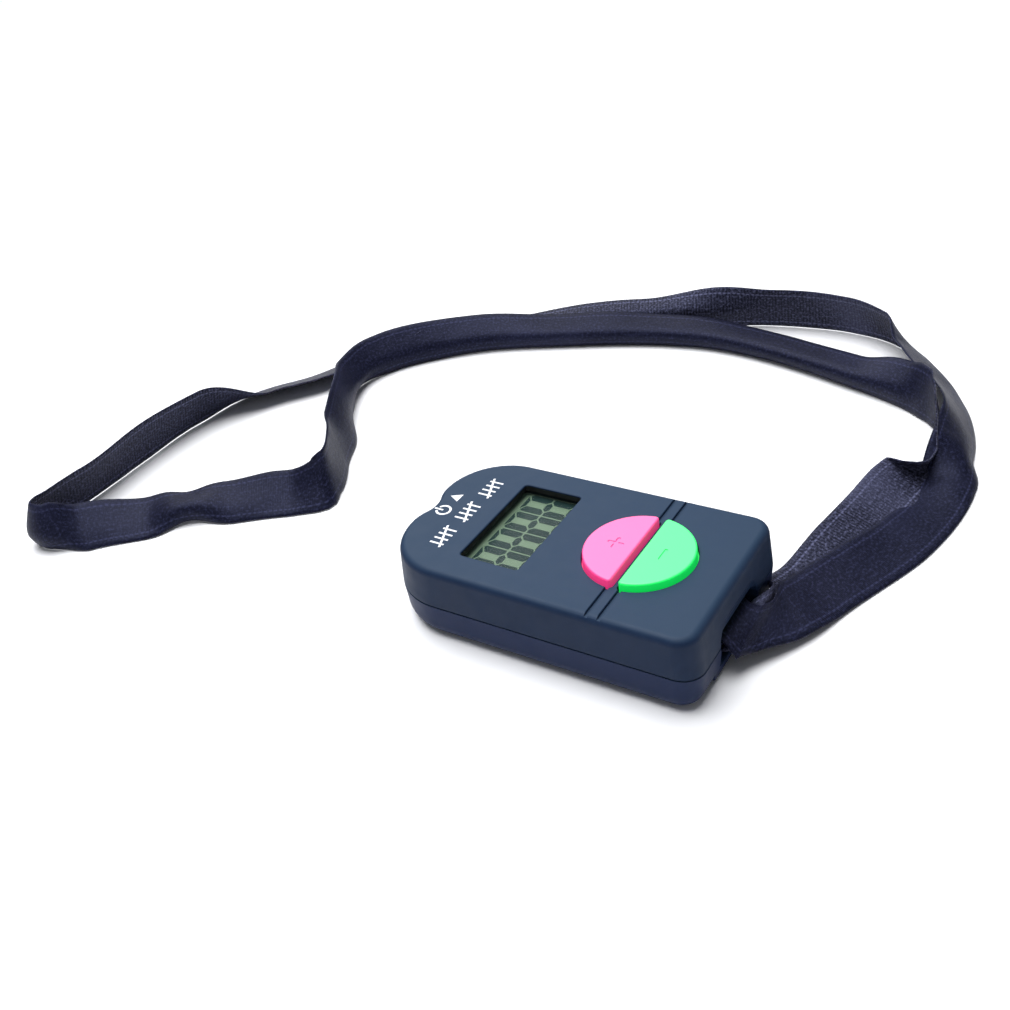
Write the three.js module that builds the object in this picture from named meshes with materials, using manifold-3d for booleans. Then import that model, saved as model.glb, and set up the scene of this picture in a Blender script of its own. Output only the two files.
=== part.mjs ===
// Hand-held electronic row counter on a neck ribbon, lying on its back.
// Millimetres. +Z points out of the display, +Y towards the head end, +X to the reader's right.
// The origin is on the rest surface, under the middle of the case.
import * as THREE from 'three';
import { mergeVertices } from 'three/addons/utils/BufferGeometryUtils.js';
import Module from 'manifold-3d';

const wasm = await Module();
wasm.setup();

// ---------------------------------------------------------------- driving dimensions
const GAP = 0.3; // clearance between neighbouring pieces
const CASE = { width: 41, length: 70.8, height: 17.1, parting: 8.05, wall: 1.7, roof: 1.5, floor: 1.9 };
const CORNER = { strap: 4.5, head: 14, top: 1.6, bottom: 3.6 };
const TAPER = { x: 0.0008, y: 0.0027 }; // share of the outline lost for each mm away from the parting line
const NOTCH = { depth: 1.4, lip: 3.4, base: 3 }; // shallow dip in the head end, around the reset button
const WINDOW = { width: 26.3, y0: 4.9, y1: 18.7, corner: 0.8 };
const BUTTON = { y: -15, radius: 11, chord: 0.75, proud: 1.5, bevel: 0.45, flange: 1 };
const KEY = { plate: 1.1, stem: 2.6 }; // below each button's face
const MARK = { at: 5, reach: 1.7, half: 0.3, depth: 0.15 }; // the engraved plus and minus
const GROOVE = { offset: 1.3, width: 0.7, depth: 0.5 };
const RESET = { width: 7.3, z0: 11.15, z1: 14.05, y0: 30.7, y1: 34.3, flange: 1.3 };
const BOSS = { radius: 2.2, post: 3.2, pilot: 1.3, head: 2.3, seat: 3.2, depth: 13.4 };
const BOSS_PLACES = [[-14.5, -28.8], [14.5, -28.8], [-13.2, 22.8], [13.2, 22.8]];
const BOARD = { z0: 9.6, z1: 10.8, half: 18.2, y0: -26, y1: 19.8, tongue: 10.2, tongueY: 29.5 };
const BOARD_SCREW = { x: 16.2, y: -1.5, post: 1.8, pilot: 1.1, shank: 0.8, head: 1.9 };
const MAT = { radius: 12.2, z0: 11.1, z1: 11.7, hole: 4.6 };
const DOME = { top: 13.3, roof: 12.7, neck: 12.9, mid: 11.6, base: 4.2, crown: 2.9, inner: 2.3, skirt: 3.7 };
const PILL = { radius: 1.9, z0: 11.9, z1: 12.4 };
const LENS = { half: 14.2, y0: 3.4, y1: 20.2, z0: 14.6, z1: 15.3 };
const LCD = { half: 14, y0: 0.8, ledge: 3.4, y1: 20.2, top: 14.3, glass: 0.9, foil: 11.6 };
const CELL = { y: 8, radius: 5.8, z0: 3.3, shoulder: 7.9, top: 8.7, rim: 4.6 };
const CAP = { radius: 8.7, recess: 9, hole: 7.7, plug: 7.4, z0: 0.25, z1: 1.05, top: 3, turn: 60 };
const LUG = { reach: 8.5, half: 1.4, z0: 2.2, z1: 2.9, notch: 8.8, play: 0.4 };
const COIN = { reach: 5, half: 0.8, depth: 1.1 };
const TUBE = { inner: 8.9, outer: 10.1, top: 9.2 };
const SLOT = { half: 8.5, z0: 2.9, z1: 9.6, y: -28.4 };
const DISH = { top: 12.9, radius: 2.4, deep: 0.95 }; // the hollow in the end face, round the slot
const POCKET = { half: 10.8, lining: 9, y: -34.6, web: 1.2 };
const PIN = { radius: 1.25, y: -31.2, z: 6, half: 10.3 };
const RIBBON = { width: 12.7, thick: 0.9, band: 0.5, mouth: -36.1 };
const SEAM = 0.12; // half of the gap at the parting line
const ARC = 8; // straight pieces in each arc of the outline

// The ribbon's route on the table, from one side of the slot round the whole loop and back.
const ROUTE = [
  [-1.5, -37.6], [19, -44.2], [44, -53.8], [67.4, -56.5], [88.8, -53.2], [110, -41.2], [126.2, -27.2],
  [130.6, -14.8], [128.6, 6.4], [115, 41], [96, 80], [76.5, 106.5], [57, 117.2], [46, 125.8],
  [27, 133.5], [8, 135], [-14, 134], [-25.5, 135.9], [-32.3, 133.6], [-32.3, 127.4], [-25, 122.2],
  [-15, 112], [6, 84], [9.8, 76.8], [13.8, 76], [33, 87.6], [60, 102.4], [72, 100.6], [90.4, 82],
  [104, 52], [111, 30], [112.2, 11.5], [104.2, -21.8], [95, -42.8], [84.4, -50.4], [70, -51.4],
  [65, -48.2], [50, -45.2], [24, -41], [3.5, -37.3],
];
const ROUTE_Z = RIBBON.width / 2 + 0.15;

// ---------------------------------------------------------------- solids and outlines
function solid(geometry) {
  const bare = geometry.index ? geometry.toNonIndexed() : geometry.clone();
  bare.deleteAttribute('normal');
  bare.deleteAttribute('uv');
  const merged = mergeVertices(bare, 1e-4);
  const mesh = new wasm.Mesh({
    numProp: 3,
    vertProperties: new Float32Array(merged.attributes.position.array),
    triVerts: new Uint32Array(merged.index.array),
  });
  return new wasm.Manifold(mesh);
}

function geometryOf(manifold) {
  const mesh = manifold.getMesh();
  const geometry = new THREE.BufferGeometry();
  geometry.setAttribute('position', new THREE.BufferAttribute(new Float32Array(mesh.vertProperties), 3));
  geometry.setIndex(new THREE.BufferAttribute(new Uint32Array(mesh.triVerts), 1));
  return geometry;
}

// A plate with the given outline between two heights.
function plate(shape, z0, z1, curveSegments = ARC) {
  const geometry = new THREE.ExtrudeGeometry(shape, { depth: z1 - z0, bevelEnabled: false, curveSegments });
  return geometry.translate(0, 0, z0);
}

// The same with both rims rounded; the outline keeps its size between them.
function pillow(shape, z0, z1, rounding, bevelSegments, curveSegments = ARC) {
  const geometry = new THREE.ExtrudeGeometry(shape, {
    depth: z1 - z0 - 2 * rounding,
    bevelThickness: rounding,
    bevelSize: rounding,
    bevelOffset: -rounding,
    bevelSegments,
    curveSegments,
  });
  return geometry.translate(0, 0, z0 + rounding);
}

function box(x0, x1, y0, y1, z0, z1) {
  const geometry = new THREE.BoxGeometry(x1 - x0, y1 - y0, z1 - z0);
  return geometry.translate((x0 + x1) / 2, (y0 + y1) / 2, (z0 + z1) / 2);
}

function rod(radius, x, y, z0, z1, sides = 16) {
  const geometry = new THREE.CylinderGeometry(radius, radius, z1 - z0, sides);
  return geometry.rotateX(Math.PI / 2).translate(x, y, (z0 + z1) / 2);
}

// A turned piece about a vertical axis; the profile lists [radius, z].
function turned(profile, x, y, sides = 32) {
  const points = profile.map(([r, z]) => new THREE.Vector2(r, z));
  return new THREE.LatheGeometry(points, sides).rotateX(Math.PI / 2).translate(x, y, 0);
}

function taper(geometry) {
  const p = geometry.attributes.position;
  for (let i = 0; i < p.count; i += 1) {
    const away = Math.abs(p.getZ(i) - CASE.parting);
    p.setXY(i, p.getX(i) * (1 - TAPER.x * away), p.getY(i) * (1 - TAPER.y * away));
  }
  return geometry;
}

function roundedRect(x0, x1, y0, y1, r) {
  const s = new THREE.Shape();
  s.moveTo(x1 - r, y0);
  s.absarc(x1 - r, y0 + r, r, -Math.PI / 2, 0);
  s.absarc(x1 - r, y1 - r, r, 0, Math.PI / 2);
  s.absarc(x0 + r, y1 - r, r, Math.PI / 2, Math.PI);
  s.absarc(x0 + r, y0 + r, r, Math.PI, 1.5 * Math.PI);
  return s;
}

// The case seen from above: small corners at the strap end, broad shoulders and a dip at the head end.
function caseOutline(inset) {
  const half = CASE.width / 2 - inset;
  const end = CASE.length / 2 - inset;
  const r = CORNER.strap - inset;
  const shoulder = CORNER.head - inset;
  const dip = end - NOTCH.depth;
  const s = new THREE.Shape();
  s.moveTo(half - r, -end);
  s.absarc(half - r, r - end, r, -Math.PI / 2, 0);
  s.absarc(half - shoulder, end - shoulder, shoulder, 0, Math.PI / 2);
  s.bezierCurveTo(NOTCH.lip, end, NOTCH.base, dip, 0, dip);
  s.bezierCurveTo(-NOTCH.base, dip, -NOTCH.lip, end, shoulder - half, end);
  s.absarc(shoulder - half, end - shoulder, shoulder, Math.PI / 2, Math.PI);
  s.absarc(r - half, r - end, r, Math.PI, 1.5 * Math.PI);
  return s;
}

// Half a disc: side +1 is towards the head end, -1 towards the strap end.
function halfDisc(radius, chord, side) {
  const half = Math.acos(chord / radius);
  const middle = (side * Math.PI) / 2;
  const s = new THREE.Shape();
  s.absarc(0, BUTTON.y, radius, middle - half, middle + half);
  s.closePath();
  return s;
}

function all(solids) {
  return solids.reduce((a, b) => a.add(b));
}

// ---------------------------------------------------------------- case shells
function slotCut() {
  const half = SLOT.half - GAP;
  const mouth = box(-half, half, -CASE.length / 2 - 1, SLOT.y, SLOT.z0, SLOT.z1);
  const hollow = roundedRect(-SLOT.half, SLOT.half, SLOT.z0 - 0.5, DISH.top, DISH.radius);
  const dish = new THREE.ExtrudeGeometry(hollow, { depth: 2, bevelEnabled: false, curveSegments: 5 });
  dish.rotateX(Math.PI / 2).translate(0, -CASE.length / 2 + DISH.deep, 0);
  return solid(mouth).add(solid(dish));
}

function frontCase() {
  const { parting, height, wall, roof } = CASE;
  const under = height - roof;
  let shell = solid(taper(pillow(caseOutline(0), parting - CORNER.top, height, CORNER.top, 3)));
  shell = shell.subtract(solid(box(-40, 40, -60, 60, -10, parting + SEAM)));
  shell = shell.subtract(solid(taper(plate(caseOutline(wall), parting - 1, under))));
  for (const [x, y] of BOSS_PLACES) {
    shell = shell.add(solid(rod(BOSS.radius, x, y, parting + GAP, under + 0.5)));
    shell = shell.subtract(solid(rod(BOSS.pilot, x, y, parting, BOSS.depth)));
  }
  for (const side of [-1, 1]) {
    const x = side * BOARD_SCREW.x;
    shell = shell.add(solid(rod(BOARD_SCREW.post, x, BOARD_SCREW.y, BOARD.z1 + GAP, under + 0.5)));
    shell = shell.subtract(solid(rod(BOARD_SCREW.pilot, x, BOARD_SCREW.y, BOARD.z1, 14)));
    const opening = halfDisc(BUTTON.radius + GAP, BUTTON.chord - GAP, side);
    shell = shell.subtract(solid(plate(opening, 14, 20, 18)));
    const y = BUTTON.y + side * GROOVE.offset;
    const width = GROOVE.width / 2;
    shell = shell.subtract(solid(box(-30, 30, y - width, y + width, height - GROOVE.depth, 20)));
  }
  const { width, y0, y1, corner } = WINDOW;
  shell = shell.subtract(solid(plate(roundedRect(-width / 2, width / 2, y0, y1, corner), 14, 20, 3)));
  const half = RESET.width / 2 + GAP;
  shell = shell.subtract(solid(box(-half, half, RESET.y0 + GAP, 40, RESET.z0 - GAP, RESET.z1 + GAP)));
  return geometryOf(shell.subtract(slotCut()));
}

function rearCase() {
  const { parting, wall, floor } = CASE;
  let shell = solid(taper(pillow(caseOutline(0), 0, parting + CORNER.bottom, CORNER.bottom, 4)));
  const rim = parting - SEAM;
  shell = shell.subtract(solid(box(-40, 40, -60, 60, rim, 40)));
  shell = shell.subtract(solid(taper(plate(caseOutline(wall), floor, parting + 1))));
  const { half, lining } = POCKET;
  const pocket = solid(box(-half, half, POCKET.y, SLOT.y + POCKET.web, 1, rim));
  shell = shell.add(pocket.subtract(solid(box(-lining, lining, -40, SLOT.y, SLOT.z0, 20))));
  for (const [x, y] of BOSS_PLACES) {
    shell = shell.add(solid(rod(BOSS.post, x, y, 1, parting - GAP)));
    shell = shell.subtract(solid(rod(BOSS.pilot, x, y, -1, parting + 1)));
    shell = shell.subtract(solid(rod(BOSS.head, x, y, -1, BOSS.seat)));
  }
  const well = solid(rod(TUBE.outer, 0, CELL.y, 1, TUBE.top, 40));
  shell = shell.add(well.subtract(solid(rod(TUBE.inner, 0, CELL.y, floor, 20, 40))));
  shell = shell.subtract(solid(rod(CAP.hole, 0, CELL.y, -1, 5, 40)));
  shell = shell.subtract(solid(rod(CAP.recess, 0, CELL.y, -1, CAP.z1 + GAP, 40)));
  const across = LUG.half + LUG.play;
  const notches = box(-LUG.notch, LUG.notch, -across, across, -1, floor + 0.1);
  notches.rotateZ(THREE.MathUtils.degToRad(CAP.turn)).translate(0, CELL.y, 0);
  shell = shell.subtract(solid(notches)).subtract(slotCut());
  const bore = PIN.radius + GAP;
  const hole = new THREE.CylinderGeometry(bore, bore, 2 * PIN.half + 0.4, 20);
  return geometryOf(shell.subtract(solid(hole.rotateZ(Math.PI / 2).translate(0, PIN.y, PIN.z))));
}

// ---------------------------------------------------------------- keys
function keyCap(side) {
  const { radius, chord, flange, bevel } = BUTTON;
  const base = CASE.height - CASE.roof - GAP - KEY.plate;
  const top = CASE.height + BUTTON.proud;
  const mark = BUTTON.y + side * MARK.at;
  const head = solid(pillow(halfDisc(radius, chord, side), base - 3, top, bevel, 2, 18));
  const parts = [
    head.subtract(solid(box(-20, 20, -40, 10, 0, base + 0.2))),
    solid(plate(halfDisc(radius + flange, chord, side), base, base + KEY.plate, 18)),
    solid(rod(KEY.stem, 0, mark, DOME.top + GAP, base + 0.5)),
  ];
  let cap = all(parts);
  const { reach, half } = MARK;
  const floor = top - MARK.depth;
  cap = cap.subtract(solid(box(-reach, reach, mark - half, mark + half, floor, top + 1)));
  if (side > 0) {
    cap = cap.subtract(solid(box(-half, half, mark - reach, mark + reach, floor, top + 1)));
  }
  return geometryOf(cap);
}

function resetKey() {
  const { width, z0, z1, y0, y1, flange } = RESET;
  const half = width / 2;
  const face = pillow(roundedRect(-half, half, z0, z1, 0.9), 0, y1 - y0 + 2, 0.4, 2, 4);
  face.rotateX(Math.PI / 2).translate(0, y1, 0);
  const stem = solid(face).subtract(solid(box(-20, 20, 0, y0 + 0.1, 0, 30)));
  return geometryOf(stem.add(solid(box(-half - flange, half + flange, y0, y0 + 1, z0, z1 + 0.8))));
}

function keypadMat() {
  let mat = solid(rod(MAT.radius, 0, BUTTON.y, MAT.z0, MAT.z1, 40));
  for (const side of [-1, 1]) {
    mat = mat.subtract(solid(rod(MAT.hole, 0, BUTTON.y + side * MARK.at, MAT.z0 - 1, MAT.z1 + 1, 28)));
  }
  return geometryOf(mat);
}

function dome(side) {
  const { top, roof, base, mid, neck, crown, inner, skirt } = DOME;
  const inside = [[0, roof], [inner, roof], [skirt, MAT.z0 + 0.2], [skirt, MAT.z0]];
  const outside = [[base, MAT.z0], [base, mid], [crown, neck], [crown, top], [0, top]];
  return turned([...inside, ...outside], 0, BUTTON.y + side * MARK.at, 18);
}

// ---------------------------------------------------------------- display and board
function circuitBoard() {
  const { z0, z1, half, y0, y1, tongue, tongueY } = BOARD;
  let board = solid(box(-half, half, y0, y1, z0, z1));
  board = board.add(solid(box(-tongue, tongue, y1 - 1, tongueY, z0, z1)));
  for (const side of [-1, 1]) {
    board = board.subtract(solid(rod(1.15, side * BOARD_SCREW.x, BOARD_SCREW.y, z0 - 1, z1 + 1, 16)));
  }
  return geometryOf(board);
}

// A screw that points up, with a crossed recess in its head.
function screw(x, y, head, shank, [low, neck, tip]) {
  const profile = [[0, low], [head, low], [head, neck], [shank, neck], [shank, tip], [0, tip]];
  const body = solid(turned(profile, x, y, 14));
  const cut = head * 0.62;
  const slots = [box(x - cut, x + cut, y - 0.22, y + 0.22, low - 1, low + 0.6)];
  slots.push(box(x - 0.22, x + 0.22, y - cut, y + cut, low - 1, low + 0.6));
  return geometryOf(body.subtract(all(slots.map(solid))));
}

function blob() {
  return turned([[0, 8], [2, 8.1], [3.6, 8.5], [4.6, 9.3], [0, 9.3]], 0, -14, 24);
}

// ---------------------------------------------------------------- battery
function cell() {
  const { radius, z0, shoulder, top, rim } = CELL;
  const profile = [[0, z0], [radius - 0.5, z0], [radius, z0 + 0.5], [radius, shoulder - 0.4]];
  profile.push([radius - 0.6, shoulder], [rim, shoulder], [rim, top], [0, top]);
  return turned(profile, 0, CELL.y, 32);
}

function batteryCap() {
  const { radius, plug, z0, z1, top } = CAP;
  const profile = [[0, z0], [radius - 0.3, z0], [radius, z0 + 0.3], [radius, z1]];
  profile.push([plug, z1], [plug, top], [0, top]);
  const lugs = box(-LUG.reach, LUG.reach, CELL.y - LUG.half, CELL.y + LUG.half, LUG.z0, LUG.z1);
  const coin = box(-COIN.reach, COIN.reach, CELL.y - COIN.half, CELL.y + COIN.half, -1, COIN.depth);
  const cap = solid(turned(profile, 0, CELL.y, 40)).add(solid(lugs));
  return geometryOf(cap.subtract(solid(coin)));
}

function contactPositive() {
  const side = solid(box(6.1, 6.4, CELL.y - 2, CELL.y + 2, 4, 9.3));
  return geometryOf(side.add(solid(box(6.2, 8.4, CELL.y - 2, CELL.y + 2, 9, 9.3))));
}

// ---------------------------------------------------------------- lanyard
function lanyardPin() {
  const { radius, y, z, half } = PIN;
  return new THREE.CylinderGeometry(radius, radius, 2 * half, 20).rotateZ(Math.PI / 2).translate(0, y, z);
}

// The ribbon where it passes flat round the pin, open towards the mouth of the slot.
function ribbonBight() {
  const inner = PIN.radius + GAP;
  const outer = inner + RIBBON.band;
  const reach = PIN.y - RIBBON.mouth;
  const s = new THREE.Shape();
  s.moveTo(-reach, -outer);
  s.absarc(0, 0, outer, -Math.PI / 2, Math.PI / 2);
  s.lineTo(-reach, outer);
  s.lineTo(-reach, inner);
  s.absarc(0, 0, inner, Math.PI / 2, -Math.PI / 2, true);
  s.lineTo(-reach, -inner);
  s.closePath();
  const band = new THREE.ExtrudeGeometry(s, { depth: RIBBON.width, bevelEnabled: false, curveSegments: 8 });
  band.rotateY(Math.PI / 2).rotateX(Math.PI / 2);
  return band.translate(-RIBBON.width / 2, PIN.y, PIN.z);
}

function neckRibbon() {
  const points = ROUTE.map(([x, y]) => new THREE.Vector3(x, y, ROUTE_Z));
  const path = new THREE.CatmullRomCurve3(points, false, 'centripetal');
  const half = RIBBON.width / 2;
  const side = RIBBON.thick / 2;
  const flat = half - 0.6;
  const section = new THREE.Shape();
  section.moveTo(-half, -side * 0.4);
  section.lineTo(-flat, -side);
  section.lineTo(flat, -side);
  section.lineTo(half, -side * 0.4);
  section.lineTo(half, side * 0.4);
  section.lineTo(flat, side);
  section.lineTo(-flat, side);
  section.lineTo(-half, side * 0.4);
  section.closePath();
  return new THREE.ExtrudeGeometry(section, { steps: 78, extrudePath: path, curveSegments: 1 });
}

// ---------------------------------------------------------------- the assembly
function paint(color, roughness, metalness = 0) {
  return new THREE.MeshStandardMaterial({ color, roughness, metalness });
}

const MATERIAL = {
  case: paint(0x2b3442, 0.6),
  pink: paint(0xf0559a, 0.4),
  green: paint(0x2fe07a, 0.4),
  clear: paint(0xb8c4bd, 0.1),
  glass: paint(0x8fa088, 0.15),
  foil: paint(0xb9bdb4, 0.4, 0.3),
  rubber: paint(0x55585c, 0.8),
  carbon: paint(0x1c1c1e, 0.9),
  board: paint(0x2c6b3c, 0.5),
  black: paint(0x141517, 0.5),
  steel: paint(0xb4b8bc, 0.3, 0.9),
  ribbon: paint(0x181b2c, 0.5),
};

const counter = new THREE.Group();
counter.name = 'row_counter';

function place(name, geometry, material) {
  const mesh = new THREE.Mesh(geometry, material);
  mesh.name = name;
  counter.add(mesh);
}

place('front_case', frontCase(), MATERIAL.case);
place('rear_case', rearCase(), MATERIAL.case);
place('plus_button', keyCap(1), MATERIAL.pink);
place('minus_button', keyCap(-1), MATERIAL.green);
place('reset_button', resetKey(), MATERIAL.black);
place('keypad_mat', keypadMat(), MATERIAL.rubber);
place('plus_dome', dome(1), MATERIAL.rubber);
place('minus_dome', dome(-1), MATERIAL.rubber);
place('plus_pill', rod(PILL.radius, 0, BUTTON.y + MARK.at, PILL.z0, PILL.z1), MATERIAL.carbon);
place('minus_pill', rod(PILL.radius, 0, BUTTON.y - MARK.at, PILL.z0, PILL.z1), MATERIAL.carbon);
place('reset_switch', box(-3, 3, 24.9, 28.3, 11.1, 14.3), MATERIAL.black);
place('reset_plunger', box(-1.3, 1.3, 28.9, 30.4, 12, 13.2), MATERIAL.steel);
const lens = roundedRect(-LENS.half, LENS.half, LENS.y0, LENS.y1, 1);
const { half, y0, ledge, y1, top, glass, foil } = LCD;
const rear = top - glass - GAP; // top of the rear glass
place('window_lens', plate(lens, LENS.z0, LENS.z1, 4), MATERIAL.clear);
place('lcd_front_glass', box(-half, half, y0, y1, top - glass, top), MATERIAL.glass);
place('lcd_rear_glass', box(-half, half, ledge, y1, rear - glass, rear), MATERIAL.glass);
const sheet = box(-half + 0.4, half - 0.4, ledge + 0.4, y1 - 0.4, foil, foil + 0.3);
place('lcd_reflector', sheet, MATERIAL.foil);
place('elastomer_strip', box(-13, 13, 1, 2.8, 11.1, 13.1), MATERIAL.rubber);
place('circuit_board', circuitBoard(), MATERIAL.board);
place('chip_blob', blob(), MATERIAL.black);
place('capacitor', box(7, 9, -13, -11.7, 8.5, 9.3), MATERIAL.foil);
place('resistor', box(7, 9, -17, -15.7, 8.8, 9.3), MATERIAL.black);
place('button_cell', cell(), MATERIAL.steel);
place('contact_positive', contactPositive(), MATERIAL.steel);
place('contact_negative', box(-3, 3, CELL.y - 3, CELL.y + 5, 9, 9.3), MATERIAL.steel);
place('battery_cap', batteryCap(), MATERIAL.case);
place('lanyard_pin', lanyardPin(), MATERIAL.steel);
place('ribbon_bight', ribbonBight(), MATERIAL.ribbon);
place('neck_ribbon', neckRibbon(), MATERIAL.ribbon);
BOSS_PLACES.forEach(([x, y], i) => {
  place(`case_screw_${i + 1}`, screw(x, y, 2, 1, [1.3, 2.9, 13]), MATERIAL.steel);
});
for (const side of [-1, 1]) {
  const { x, y, head, shank } = BOARD_SCREW;
  place(`board_screw_${side > 0 ? 2 : 1}`, screw(side * x, y, head, shank, [8, 9.3, 13.4]), MATERIAL.steel);
}

export default counter;
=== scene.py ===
"""Electronic row counter on a neck ribbon: the appearance model.

The row frame is in metres, +Z out of the display, +Y towards the head end, and the table top is z = 0.
Lengths inside the shape functions are in millimetres and become metres in one place, mesh_object().
"""

from math import atan2, cos, pi, radians, sin, sqrt

import bmesh
import bpy
import numpy as np
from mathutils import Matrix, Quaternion, Vector


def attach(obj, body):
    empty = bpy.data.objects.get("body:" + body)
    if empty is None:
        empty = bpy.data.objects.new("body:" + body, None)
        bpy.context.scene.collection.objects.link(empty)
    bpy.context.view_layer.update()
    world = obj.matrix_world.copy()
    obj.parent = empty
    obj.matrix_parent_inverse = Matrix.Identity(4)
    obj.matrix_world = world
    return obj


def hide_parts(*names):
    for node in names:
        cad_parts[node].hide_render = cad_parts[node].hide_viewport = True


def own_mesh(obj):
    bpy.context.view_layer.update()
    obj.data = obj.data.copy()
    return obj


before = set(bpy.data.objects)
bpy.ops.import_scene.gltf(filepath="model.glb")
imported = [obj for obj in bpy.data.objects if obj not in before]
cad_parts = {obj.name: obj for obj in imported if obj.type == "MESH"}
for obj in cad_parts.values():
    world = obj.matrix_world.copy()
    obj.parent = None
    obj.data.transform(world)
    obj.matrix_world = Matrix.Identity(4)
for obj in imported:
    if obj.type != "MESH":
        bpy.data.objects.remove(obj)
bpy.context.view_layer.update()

MM = 0.001
WIDTH, LENGTH, HEIGHT, PARTING = 41.0, 70.8, 17.1, 8.05  # case
SEAM = 0.12
BUTTON_Y, BUTTON_R, CHORD, KEY_TOP = -15.0, 11.0, 0.75, 18.6
PIN_Y, PIN_Z, BAND = -31.2, 6.0, 1.8  # the bight goes round the pin at this radius
RIBBON = 12.7
CLOTH = 0.44

# The ribbon's route, the same points as in part.mjs, in metres.
ROUTE = [
    (-0.0015, -0.0376), (0.019, -0.0442), (0.044, -0.0538), (0.0674, -0.0565), (0.0888, -0.0532),
    (0.11, -0.0412), (0.1262, -0.0272), (0.1306, -0.0148), (0.1286, 0.0064), (0.115, 0.041),
    (0.096, 0.08), (0.0765, 0.1065), (0.057, 0.1172), (0.046, 0.1258), (0.027, 0.1335),
    (0.008, 0.135), (-0.014, 0.134), (-0.0255, 0.1359), (-0.0323, 0.1336), (-0.0323, 0.1274),
    (-0.025, 0.1222), (-0.015, 0.112), (0.006, 0.084), (0.0098, 0.0768), (0.0138, 0.076),
    (0.033, 0.0876), (0.06, 0.1024), (0.072, 0.1006), (0.0904, 0.082), (0.104, 0.052),
    (0.111, 0.03), (0.1122, 0.0115), (0.1042, -0.0218), (0.095, -0.0428), (0.0844, -0.0504),
    (0.07, -0.0514), (0.065, -0.0482), (0.05, -0.0452), (0.024, -0.041), (0.0035, -0.0373),
]

# How the ribbon lies at places along its route: x and y in mm, lean from upright in degrees (positive to
# the left), cup across the width in degrees, lift of its lower edge in mm, and skew of the section in
# degrees.
LIE = [
    (-1.5, -37.6, 76, 0, 4.6, 0), (3.4, -39, 78, 0, 3.3, 0), (11, -41.6, 75, 0, 1.6, 0),
    (19, -44.2, 73, 0, 0.3, 0), (30, -49.2, 72, 0, 0, 0), (44, -53.8, 80, 0, 0, 0),
    (58, -56.4, 86, 0, 0, 0), (67.4, -56.5, 80, 20, 0, 0), (78.3, -55.7, 42, 30, 0, 0),
    (88.8, -53.2, 38, 0, 0, 0), (99.8, -47.8, 44, 0, 0, 0), (110, -41.2, 50, 0, 0, 0),
    (120, -34.4, 50, 0, 0, 0), (126.2, -27.2, 24, 0, 0, 0), (130.6, -14.8, 15, 0, 0, 0),
    (128.6, 6.4, 12, 0, 0, 0), (115, 41, -30, -110, 0, 0), (96, 80, -8, -150, 0, 0),
    (76.5, 106.5, 66, 0, 0, 0), (57, 117.2, 70, 0, 0, 0), (46, 125.8, 66, 0, 0, 0),
    (27, 133.5, 25, 0, 0, 0), (8, 135, 14, 0, 0, 0), (-14, 134, 18, 0, 0, 0),
    (-25.5, 135.9, 20, 30, 0, 0), (-32.3, 133.6, 0, 60, 0, 0), (-32.3, 127.4, 0, 60, 0, 0),
    (-25, 122.2, 52, 10, 0, 0), (-15, 112, 68, 0, 0, 0), (-8.5, 103.5, 42, 110, 0.6, 0),
    (-1, 94.5, 64, 20, 0, 0), (6, 84, 60, 0, 0, 0), (9.8, 76.8, 38, 0, 0, 0),
    (13.8, 76, 10, 0, 0, 0), (23.4, 81.2, 14, 0, 0, 0), (33, 87.6, 28, 0, 0, 0),
    (48, 97.4, 8, 20, 0, 0), (60, 102.4, -6, 90, 0, 0), (72, 100.6, 18, 70, 0, 0),
    (90.4, 82, 18, 80, 0, 0), (104, 52, 22, 100, 0, 0), (111, 30, 24, 120, 0, 0),
    (112.2, 11.5, 23, 126, 0, 0), (109.4, -5.5, 23, 126, 0, 0), (104.2, -21.8, 22, 120, 0, 0),
    (98.8, -36, 18, 80, 0, 0), (95, -42.8, 10, 30, 0, 5), (90.6, -47.2, -2, 0, 0, 18),
    (84.4, -50.4, -36, 0, 0, 64), (75.6, -52.2, -60, 0, 0, 97), (70, -51.4, -60, 0, 0, 108),
    (65, -48.2, -72, 0, 0, 20), (58, -46.2, -73, 0, 0, 0), (50, -45.2, -74, 0, 0, 0),
    (37, -43.2, -74, 0, 0, 0), (24, -41, -80, 0, 0, 0), (13, -38.9, -72, 0, 0.7, 0),
    (3.5, -37.3, -64, 0, 2.6, 0),
]
RING_STEP = 1.25  # between two sections of the ribbon
TABLE_GAP = 0.35  # under the ribbon's lower edge
GATHER_START, GATHER_END = 22, 15  # lengths over which the two ends turn into the slot
CUP_CENTRE, CUP_SOFTNESS = -0.18, 0.12  # as parts of the ribbon's width


# ---------------------------------------------------------------- camera
def camera():
    data = bpy.data.cameras.new("camera")
    data.sensor_width = 36
    data.lens = 41.06
    data.clip_start = 0.01
    obj = bpy.data.objects.new("camera", data)
    obj.location = (-0.1557, -0.0994, 0.1520)
    direction = Vector((0.0252, 0.0334, 0)) - obj.location
    turn = direction.to_track_quat("-Z", "Y") @ Quaternion((0, 0, 1), -radians(8.64))
    obj.rotation_euler = turn.to_euler()
    bpy.context.scene.collection.objects.link(obj)
    bpy.context.scene.camera = obj


# ---------------------------------------------------------------- meshes
def mesh_object(name, points, faces):
    mesh = bpy.data.meshes.new(name)
    mesh.from_pydata([tuple(c * MM for c in p) for p in points], [], faces)
    obj = bpy.data.objects.new(name, mesh)
    bpy.context.scene.collection.objects.link(obj)
    return obj


def recalculated(obj):
    shape = bmesh.new()
    shape.from_mesh(obj.data)
    bmesh.ops.recalc_face_normals(shape, faces=shape.faces)
    shape.to_mesh(obj.data)
    shape.free()
    return obj


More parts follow.
